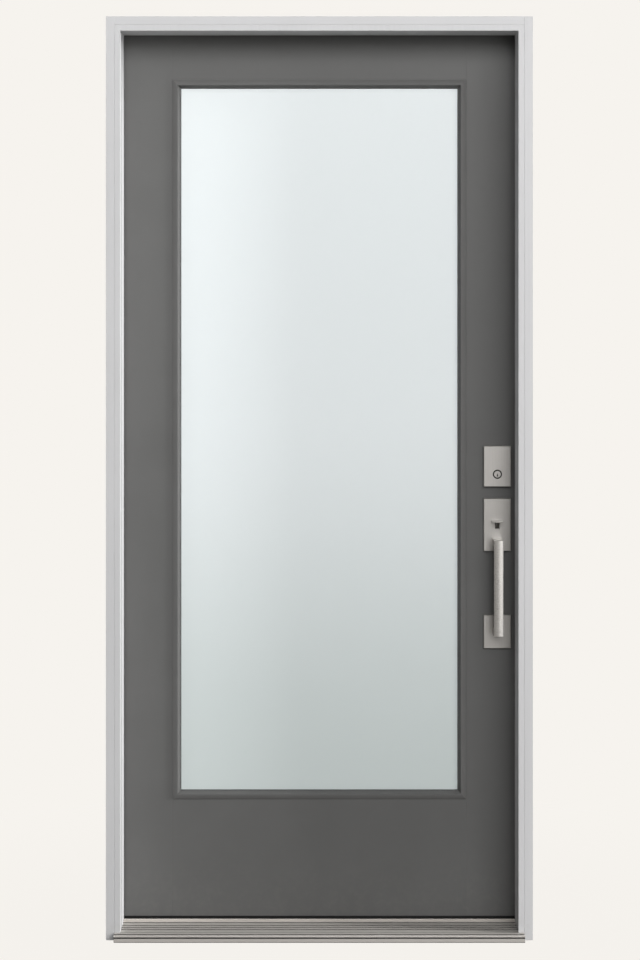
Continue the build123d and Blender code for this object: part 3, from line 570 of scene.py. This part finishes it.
def seen_rays(finish):
    """One for rays that show the backdrop: camera, mirror and glass rays."""
    camera_ray = finish.node("ShaderNodeLightPath", {}, {}, "Is Camera Ray")
    path = camera_ray.socket.node.outputs
    mirror_ray = Wire(finish, path["Is Glossy Ray"])
    glass_ray = Wire(finish, path["Is Transmission Ray"])
    return camera_ray.most(mirror_ray).most(glass_ray)


def backdrop_strength(finish, along_y, near, far):
    """Full for the camera; for mirror rays, dim in the room before the door and full behind it."""
    camera_ray = finish.node("ShaderNodeLightPath", {}, {}, "Is Camera Ray")
    return along_y.between(near, far, ROOM_SIDE, 1.0).most(camera_ray)


def studio_world():
    world = bpy.data.worlds.new("studio")
    studio = Finish("studio", world)
    fill = studio.node("ShaderNodeBackground", {}, {"Color": FILL, "Strength": FILL_STRENGTH})
    towards = studio.node("ShaderNodeTexCoord", {}, {}, "Generated")
    towards = studio.node("ShaderNodeSeparateXYZ", {}, {"Vector": towards}, "Y")
    backdrop = studio.node(
        "ShaderNodeBackground", {},
        {"Color": BACKDROP, "Strength": backdrop_strength(studio, towards, *WORLD_TURN)},
    )
    chosen = studio.node("ShaderNodeMixShader", {}, {0: seen_rays(studio), 1: fill, 2: backdrop})
    studio.node("ShaderNodeOutputWorld", {}, {"Surface": chosen})
    return world


def floor_finish():
    paper = Finish("studio_floor")
    shaded = paper.node("ShaderNodeBsdfDiffuse", {}, {"Color": FLOOR_GREY})
    strength = backdrop_strength(paper, paper.axis("Y"), *FLOOR_TURN)
    even = paper.node("ShaderNodeEmission", {}, {"Color": BACKDROP, "Strength": strength})
    away = paper.node(
        "ShaderNodeVectorMath", {"operation": "LENGTH"}, {0: paper.place()}, "Value"
    )
    share = away.between(*SHADOW_REACH, SHADOW_SHARE, 0.0)
    blend = paper.node(
        "ShaderNodeMixShader", {}, {0: seen_rays(paper) * (1 - share), 1: shaded, 2: even}
    )
    paper.node("ShaderNodeOutputMaterial", {}, {"Surface": blend})
    return paper.holder


bpy.context.scene.world = studio_world()
corners = ((-1, -1), (1, -1), (1, 1), (-1, 1))
ground = bpy.data.meshes.new("floor")
ground.from_pydata(
    [(x * FLOOR_REACH, y * FLOOR_REACH, -FLOOR_DROP) for x, y in corners], [], [(0, 1, 2, 3)]
)
ground.materials.append(floor_finish())
floor = bpy.data.objects.new("floor", ground)
bpy.context.scene.collection.objects.link(floor)
print("the floor reaches", FLOOR_REACH, "m each way, lit by a fill of", FILL_STRENGTH)

# %% [markdown]
# ## Lamps
# One broad soft lamp high on the right of the camera throws the head's and the right jamb's shadow
# across the slab, and two smaller ones fill it. The lamps are area lights, whose size sets how
# soft a shadow is. A tall lamp far out at the right, a little in front of the jambs' plane, is
# what makes the left reveal bright. It is as strong as the strike jamb's outer side, which faces
# it, can take without turning plain white. A small lamp brightens the upper left corner, a low
# card gives the pull's crown something to mirror, and a lamp in the house lights the inside.

# %% Lamps
def soft_lamp(name, place, aim, size, power):
    """A rectangular area light that faces a point and doesn't show itself."""
    light = bpy.data.lights.new(name, "AREA")
    light.shape = "RECTANGLE"
    light.size, light.size_y = size
    light.energy = power
    lamp = bpy.data.objects.new(name, light)
    lamp.location = place
    lamp.rotation_euler = (Vector(aim) - Vector(place)).to_track_quat("-Z", "Y").to_euler()
    lamp.visible_camera = False
    bpy.context.scene.collection.objects.link(lamp)
    return lamp


DOOR_MIDDLE = (-0.1, 0.0, 1.35)
lamps = [
    soft_lamp("key_lamp", (3.02, -7.33, 3.8), (-0.53, 0.0, 1.96), (5.1, 4.2), 326),
    soft_lamp("front_lamp", (0.143, -6.95, 4.16), DOOR_MIDDLE, (2.7, 2.4), 158),
    soft_lamp("right_lamp", (4.635, -6.06, 3.555), DOOR_MIDDLE, (2.7, 2.7), 24),
    soft_lamp("side_lamp", (10.0, -1.87, 3.7), (-0.44, 0.0, 1.2), (1.55, 4.0), 1375),
    soft_lamp("corner_lamp", (-1.0, -1.83, 2.79), (-0.6, 0.0, 1.9), (0.6, 0.6), 4.5),
    soft_lamp("grip_card", (1.57, -4.35, 0.38), (0.4, 0.0, 0.78), (1.18, 0.73), 8),
    soft_lamp("back_lamp", (-2.6, 5.2, 3.2), (0.0, 0.0, 1.1), (3.0, 3.0), 260),
]
print("lamps:", [(lamp.name, lamp.data.energy) for lamp in lamps])

# %% [markdown]
# ## Screws
# A door is full of screws that its solids leave out: four in each hinge leaf, two in each strike,
# faceplate and inside plate. They are all one piece repeated, which is what Geometry Nodes are for.
# The tree makes one low countersunk head with a cross recess and puts a copy on every vertex of a
# small mesh of places, turned to the direction that the vertex stores. One mesh is made for each
# body, so that the door's screws swing with it.

# %% Geometry Nodes helpers
def named_input(tree, name, kind, value=None):
    socket = tree.interface.new_socket(name, in_out="INPUT", socket_type=kind)
    if value is not None:
        socket.default_value = value


def tree_node(tree, kind, settings, inputs):
    """Makes a node, sets its settings, feeds its sockets, and gives back its first output."""
    made = tree.nodes.new(kind)
    for name, value in settings.items():
        setattr(made, name, value)
    for name, value in inputs.items():
        if isinstance(value, bpy.types.NodeSocket):
            tree.links.new(value, made.inputs[name])
        else:
            made.inputs[name].default_value = value
    return made.outputs[0]


def finish_tree(tree, instances, material):
    """Ends a tree with plain geometry that has its material."""
    real = tree_node(tree, "GeometryNodeRealizeInstances", {}, {"Geometry": instances})
    done = tree_node(
        tree, "GeometryNodeSetMaterial", {}, {"Geometry": real, "Material": material}
    )
    tree.links.new(done, tree.nodes.new("NodeGroupOutput").inputs[0])


print("helpers for Geometry Nodes are ready")

# %% Screw tree
SCREW_RADIUS = 0.004
SCREW_RISE = 0.0005
SCREW_SIDES = 28
SCREW_TOP_SHARE = 0.72
RECESS_SHARE = 0.22


def screw_tree():
    tree = bpy.data.node_groups.new("screws", "GeometryNodeTree")
    named_input(tree, "Places", "NodeSocketGeometry")
    named_input(tree, "Head radius", "NodeSocketFloat", SCREW_RADIUS)
    named_input(tree, "Head rise", "NodeSocketFloat", SCREW_RISE)
    named_input(tree, "Finish", "NodeSocketMaterial")
    tree.interface.new_socket("Screws", in_out="OUTPUT", socket_type="NodeSocketGeometry")
    given = tree.nodes.new("NodeGroupInput").outputs
    radius, rise = given["Head radius"], given["Head rise"]

    def times(value, factor):
        return tree_node(
            tree, "ShaderNodeMath", {"operation": "MULTIPLY"}, {0: value, 1: factor}
        )

    def lifted(shape, rises):
        up = tree_node(tree, "ShaderNodeCombineXYZ", {}, {"Z": times(rise, rises)})
        return tree_node(
            tree, "GeometryNodeTransform", {}, {"Geometry": shape, "Translation": up}
        )

    def recess_bar(width, length):
        size = tree_node(
            tree, "ShaderNodeCombineXYZ", {},
            {"X": times(radius, width), "Y": times(radius, length), "Z": times(rise, 3.0)},
        )
        return tree_node(tree, "GeometryNodeMeshCube", {}, {"Size": size})

    head = tree_node(
        tree, "GeometryNodeMeshCone", {"fill_type": "NGON"},
        {"Vertices": SCREW_SIDES, "Radius Top": times(radius, SCREW_TOP_SHARE),
         "Radius Bottom": radius, "Depth": times(rise, 2.0)},
    )
    cross = tree_node(tree, "GeometryNodeJoinGeometry", {}, {})
    for width, length in ((RECESS_SHARE, 1.0), (1.0, RECESS_SHARE)):
        tree.links.new(recess_bar(width, length), cross.node.inputs[0])
    cut = tree_node(
        tree, "GeometryNodeMeshBoolean", {"operation": "DIFFERENCE", "solver": "EXACT"},
        {"Mesh 1": lifted(head, -1.0), "Mesh 2": lifted(cross, 1.6), "Self Intersection": True},
    )
    facing = tree_node(
        tree, "GeometryNodeInputNamedAttribute", {"data_type": "FLOAT_VECTOR"}, {"Name": "facing"}
    )
    turn = tree_node(tree, "FunctionNodeAlignRotationToVector", {"axis": "Z"}, {"Vector": facing})
    copies = tree_node(
        tree, "GeometryNodeInstanceOnPoints", {},
        {"Points": given["Places"], "Instance": cut, "Rotation": turn},
    )
    finish_tree(tree, copies, given["Finish"])
    return tree


print("a screw head is", SCREW_RADIUS * 2000, "mm wide")

# %% Places for screws
LEAF_ROWS = ((-0.038, 0.022), (-0.013, 0.011), (0.013, 0.022), (0.038, 0.011))
STRIKE_SPREAD = 0.0275
FACEPLATE_SPREAD = 0.0225
PLATE_MARGIN = 0.009
LOCK_BEVEL = math.radians(3)


def middle_of(name):
    low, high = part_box(name)
    return (low + high) / 2


def leaf_places(name, face_x, side):
    """Four places in a zigzag on a hinge leaf; side is the way its face looks along X."""
    edge_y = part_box(name)[0].y
    level = middle_of(name).z
    return [((face_x, edge_y + inwards, level + up), (side, 0, 0)) for up, inwards in LEAF_ROWS]


def pair_places(x, y, z, spread, facing):
    """Two places, above and below a point."""
    return [((x, y, z + sign * spread), facing) for sign in (-1, 1)]


frame_places, door_places = [], []
jamb_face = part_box("hinge_jamb")[1].x
slab_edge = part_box("exterior_skin")[0].x
for level in ("upper", "middle", "lower"):
    frame_places += leaf_places(f"{level}_hinge_frame_leaf", jamb_face, 1)
    door_places += leaf_places(f"{level}_hinge_door_leaf", slab_edge, -1)

strike_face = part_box("latch_strike_plate")[0].x
strike_y = middle_of("deadbolt_strike_plate").y
for name in ("latch_strike_plate", "deadbolt_strike_plate"):
    frame_places += pair_places(
        strike_face, strike_y, middle_of(name).z, STRIKE_SPREAD, (-1, 0, 0)
    )

lock_facing = (math.cos(LOCK_BEVEL), -math.sin(LOCK_BEVEL), 0.0)
for name in ("latch_faceplate", "deadbolt_faceplate"):
    low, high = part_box(name)
    middle = middle_of(name)
    edge_x = high.x - math.tan(LOCK_BEVEL) * (high.y - low.y) / 2
    door_places += pair_places(edge_x, middle.y, middle.z, FACEPLATE_SPREAD, lock_facing)

for name in ("thumbturn_plate", "lever_plate"):
    low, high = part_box(name)
    for z in (low.z + PLATE_MARGIN, high.z - PLATE_MARGIN):
        door_places.append(((middle_of(name).x, high.y, z), (0, 1, 0)))
print("screws:", len(frame_places), "in the frame,", len(door_places), "in the door")

# %% Screw meshes
def points_mesh(name, places):
    """A mesh of bare vertices, each with the direction that its copy faces."""
    mesh = bpy.data.meshes.new(name)
    mesh.from_pydata([place for place, _ in places], [], [])
    facing = mesh.attributes.new("facing", "FLOAT_VECTOR", "POINT")
    for index, (_, direction) in enumerate(places):
        facing.data[index].vector = direction
    return mesh


def grow(tree, name, mesh, values, body):
    """Runs a tree on a mesh and keeps the result as a plain mesh that rides on a body."""
    source = bpy.data.objects.new(name + "_source", mesh)
    bpy.context.scene.collection.objects.link(source)
    modifier = source.modifiers.new(name, "NODES")
    modifier.node_group = tree
    for socket in tree.interface.items_tree:
        if socket.in_out == "INPUT" and socket.name in values:
            modifier[socket.identifier] = values[socket.name]
    graph = bpy.context.evaluated_depsgraph_get()
    result = bpy.data.meshes.new_from_object(source.evaluated_get(graph), depsgraph=graph)
    source.modifiers.remove(modifier)
    bpy.data.objects.remove(source)
    piece = bpy.data.objects.new(name, result)
    bpy.context.scene.collection.objects.link(piece)
    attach(piece, body)
    print(name, "has", sum(len(p.vertices) - 2 for p in result.polygons), "triangles")
    return piece


screws = screw_tree()
screw_values = {"Head radius": SCREW_RADIUS, "Head rise": SCREW_RISE, "Finish": nickel}
for body, places in (("frame", frame_places), ("door", door_places)):
    spots = points_mesh(body + "_screw_places", places)
    grow(screws, body + "_screws", spots, screw_values, body)

# %% [markdown]
# ## The glazing bead
# A thin line of dark sealant closes the joint between the outer pane and its frame, and draws the
# fine dark outline round the glass. It is one small section that follows a rectangle, so Geometry
# Nodes sweep it with Curve to Mesh: the rectangle's size and the bead's come in as named inputs.
# It is stood up and put on one vertex, at the middle of the pane's face.

# %% Glazing bead
GLASS_BITE = 0.011
BEAD_WIDTH = 0.0018
BEAD_RISE = 0.0009
BEAD_SUNK = 0.0002


def bead_tree():
    tree = bpy.data.node_groups.new("glazing_bead", "GeometryNodeTree")
    named_input(tree, "Places", "NodeSocketGeometry")
    for name in ("Across", "Up", "Bead width", "Bead rise"):
        named_input(tree, name, "NodeSocketFloat", BEAD_WIDTH)
    named_input(tree, "Finish", "NodeSocketMaterial")
    tree.interface.new_socket("Bead", in_out="OUTPUT", socket_type="NodeSocketGeometry")
    given = tree.nodes.new("NodeGroupInput").outputs

    def rectangle(width, height):
        return tree_node(
            tree, "GeometryNodeCurvePrimitiveQuadrilateral", {},
            {"Width": given[width], "Height": given[height]},
        )

    swept = tree_node(
        tree, "GeometryNodeCurveToMesh", {},
        {"Curve": rectangle("Across", "Up"),
         "Profile Curve": rectangle("Bead width", "Bead rise")},
    )
    upright = tree_node(
        tree, "GeometryNodeTransform", {},
        {"Geometry": swept, "Rotation": (math.radians(90), 0.0, 0.0)},
    )
    placed = tree_node(
        tree, "GeometryNodeInstanceOnPoints", {}, {"Points": given["Places"], "Instance": upright}
    )
    finish_tree(tree, placed, given["Finish"])
    return tree


pane_low, pane_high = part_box("exterior_glass")
sight = pane_high - pane_low - Vector((2 * GLASS_BITE, 0, 2 * GLASS_BITE))
centre = (pane_low + pane_high) / 2
centre.y = pane_low.y - BEAD_RISE / 2 + BEAD_SUNK
bead = grow(
    bead_tree(), "glazing_bead", points_mesh("bead_place", [(centre, (0, -1, 0))]),
    {"Across": sight.x - BEAD_WIDTH, "Up": sight.z - BEAD_WIDTH, "Bead width": BEAD_WIDTH,
     "Bead rise": BEAD_RISE, "Finish": sealant},
    "door",
)
print("the bead's corners are", [[round(v, 4) for v in bead.bound_box[i]] for i in (0, 6)])

# %% [markdown]
# ## The solid model's box
# Paint, screws and bead may add detail but no size, because whoever places this door trusts the
# solid model's box.
